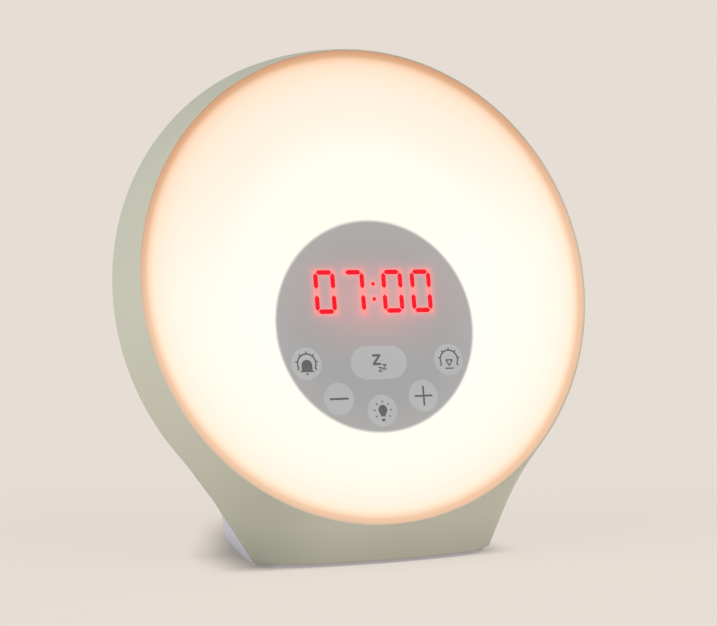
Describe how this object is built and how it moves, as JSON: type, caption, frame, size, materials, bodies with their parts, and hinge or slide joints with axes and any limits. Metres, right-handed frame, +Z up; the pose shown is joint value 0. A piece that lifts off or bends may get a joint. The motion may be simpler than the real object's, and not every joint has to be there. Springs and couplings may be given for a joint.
{
  "type": "sunrise alarm clock",
  "caption": "Round opal light disc leaning back in a flared housing on a waisted flat foot, with a red segment clock and round push buttons set in its face.",
  "frame": {"origin": "on the table, in the middle of the clock's bounding box seen from above", "axes": "+Z up, the lit face looks along -Y and leans back 11.5 degrees, +X to the right of a person facing the clock"},
  "size_m": [0.185, 0.104, 0.1879],
  "materials": {
    "housing_green": "soft satin moulded plastic, sage green",
    "cover_grey": "soft satin moulded plastic, pale lavender grey",
    "plinth_grey": "satin moulded plastic, blue grey",
    "rubber_dark": "soft rubber",
    "diffuser_opal": "opal diffusing plastic, lit warm white from behind",
    "reflector_white": "white reflective moulding",
    "shroud_grey": "light grey moulding",
    "display_black": "dark display block",
    "segment_red": "lit red segments",
    "board_green": "coated circuit board",
    "part_black": "black moulded electronic parts",
    "button_grey": "satin grey button caps with dark printed signs",
    "led_board_white": "white coated light board",
    "led_yellow": "warm LED phosphor",
    "cell_steel": "brushed cell can",
    "speaker_steel": "pressed steel basket and magnet pot",
    "cone_black": "coated paper cone",
    "gasket_grey": "foam rubber gasket",
    "screw_steel": "zinc plated screws",
    "cable_white": "flat cable",
    "wire_red": "insulated wire",
    "wire_black": "insulated wire"
  },
  "bodies": {
    "clock": {"front_housing": "housing_green", "rear_cover": "cover_grey", "base_plate": "plinth_grey", "rubber_feet": "rubber_dark", "diffuser": "diffuser_opal", "reflector": "reflector_white", "control_shroud": "shroud_grey", "display_module": "display_black", "display_segments": "segment_red", "control_board": "board_green", "tact_switches": "part_black", "led_board": "led_board_white", "leds": "led_yellow", "main_board": "board_green", "board_parts": "part_black", "cell_holder": "part_black", "backup_cell": "cell_steel", "speaker_frame": "speaker_steel", "speaker_cone": "cone_black", "speaker_gasket": "gasket_grey", "dc_jack": "part_black", "jack_board": "board_green", "housing_screws": "screw_steel", "reflector_screws": "screw_steel", "control_screws": "screw_steel", "board_screws": "screw_steel", "base_screws": "screw_steel", "ribbon_cable": "cable_white", "speaker_wires": "wire_red", "light_wires": "wire_red", "jack_wires": "wire_black"},
    "alarm": {"alarm_button": "button_grey"},
    "sunset": {"sunset_button": "button_grey"},
    "minus": {"minus_button": "button_grey"},
    "plus": {"plus_button": "button_grey"},
    "light": {"light_button": "button_grey"},
    "snooze": {"snooze_button": "button_grey"}
  },
  "joints": [
    {"name": "alarm_press", "type": "slide", "parent": "clock", "child": "alarm", "axis": [0, 0.9799, -0.1994], "range_m": [0, 0.0008], "stiffness_N_per_m": 900},
    {"name": "sunset_press", "type": "slide", "parent": "clock", "child": "sunset", "axis": [0, 0.9799, -0.1994], "range_m": [0, 0.0008], "stiffness_N_per_m": 900},
    {"name": "minus_press", "type": "slide", "parent": "clock", "child": "minus", "axis": [0, 0.9799, -0.1994], "range_m": [0, 0.0008], "stiffness_N_per_m": 900},
    {"name": "plus_press", "type": "slide", "parent": "clock", "child": "plus", "axis": [0, 0.9799, -0.1994], "range_m": [0, 0.0008], "stiffness_N_per_m": 900},
    {"name": "light_press", "type": "slide", "parent": "clock", "child": "light", "axis": [0, 0.9799, -0.1994], "range_m": [0, 0.0008], "stiffness_N_per_m": 900},
    {"name": "snooze_press", "type": "slide", "parent": "clock", "child": "snooze", "axis": [0, 0.9799, -0.1994], "range_m": [0, 0.0008], "stiffness_N_per_m": 1200}
  ]
}
